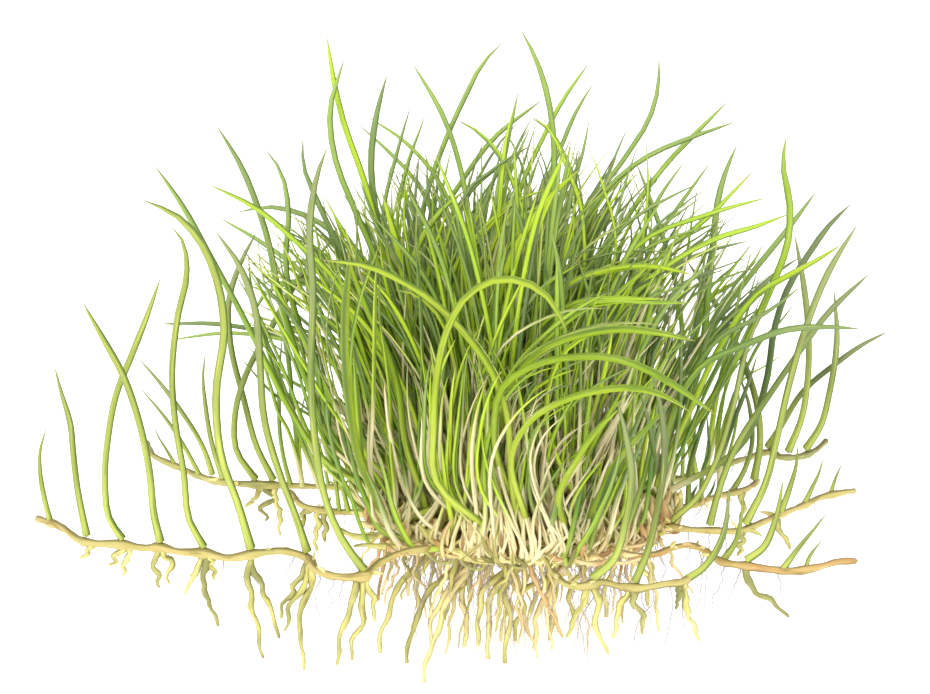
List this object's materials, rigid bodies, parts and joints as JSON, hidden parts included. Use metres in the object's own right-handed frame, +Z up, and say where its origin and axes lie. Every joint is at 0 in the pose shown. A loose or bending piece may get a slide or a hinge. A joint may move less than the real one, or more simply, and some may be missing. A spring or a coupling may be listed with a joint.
{
  "type": "dwarf hairgrass",
  "caption": "Bare-root clump of dwarf hairgrass: a flat crown with tufts of hair-thin stems, creeping runners that carry single shoots, and short wavy roots.",
  "frame": {"origin": "under the middle of the plant, on the surface that its root tips stand on", "axes": "+X to the right, towards the side with several runners; +Y to the back; +Z up, the way the stems grow"},
  "size_m": [0.1407, 0.1001, 0.0935],
  "materials": {
    "stem_green": "satin",
    "runner_tan": "satin",
    "root_cream": "matte",
    "crown_straw": "matte"
  },
  "bodies": {
    "root": {"crown": "crown_straw", "roots_back": "root_cream", "roots_front": "root_cream", "roots_front_left": "root_cream", "roots_front_right": "root_cream", "roots_left": "root_cream", "roots_right": "root_cream", "runner_front": "runner_tan", "runner_left_back": "runner_tan", "runner_left_front": "runner_tan", "runner_right": "runner_tan", "runner_right_back": "runner_tan", "runner_right_front": "runner_tan", "runner_stub_left": "runner_tan", "runner_stub_right": "runner_tan", "shoot_front_1": "stem_green", "shoot_front_2": "stem_green", "shoot_left_back_4": "stem_green", "shoot_left_back_5": "stem_green", "shoot_left_back_6": "stem_green", "shoot_left_front_2": "stem_green", "shoot_left_front_3": "stem_green", "shoot_left_front_4": "stem_green", "shoot_left_front_5": "stem_green", "shoot_left_front_6": "stem_green", "shoot_left_front_7": "stem_green", "shoot_left_front_8": "stem_green", "shoot_right_1": "stem_green", "shoot_right_2": "stem_green", "shoot_right_3": "stem_green", "shoot_right_back_1": "stem_green", "shoot_right_back_2": "stem_green", "shoot_right_back_3": "stem_green", "shoot_right_back_4": "stem_green", "shoot_right_front_2": "stem_green", "tuft_back_left": "stem_green", "tuft_back_middle": "stem_green", "tuft_back_middle_left": "stem_green", "tuft_back_middle_right": "stem_green", "tuft_back_right": "stem_green", "tuft_front_edge": "stem_green", "tuft_front_edge_left": "stem_green", "tuft_front_edge_right": "stem_green", "tuft_front_inner": "stem_green", "tuft_front_left": "stem_green", "tuft_front_right": "stem_green", "tuft_front_right_outer": "stem_green", "tuft_left_back": "stem_green", "tuft_left_inner": "stem_green", "tuft_left_middle": "stem_green", "tuft_left_outer": "stem_green", "tuft_middle": "stem_green", "tuft_middle_back": "stem_green", "tuft_middle_front": "stem_green", "tuft_middle_right": "stem_green", "tuft_middle_right_back": "stem_green", "tuft_right_back": "stem_green", "tuft_right_end": "stem_green", "tuft_right_inner": "stem_green", "tuft_right_outer": "stem_green"}
  },
  "joints": []
}
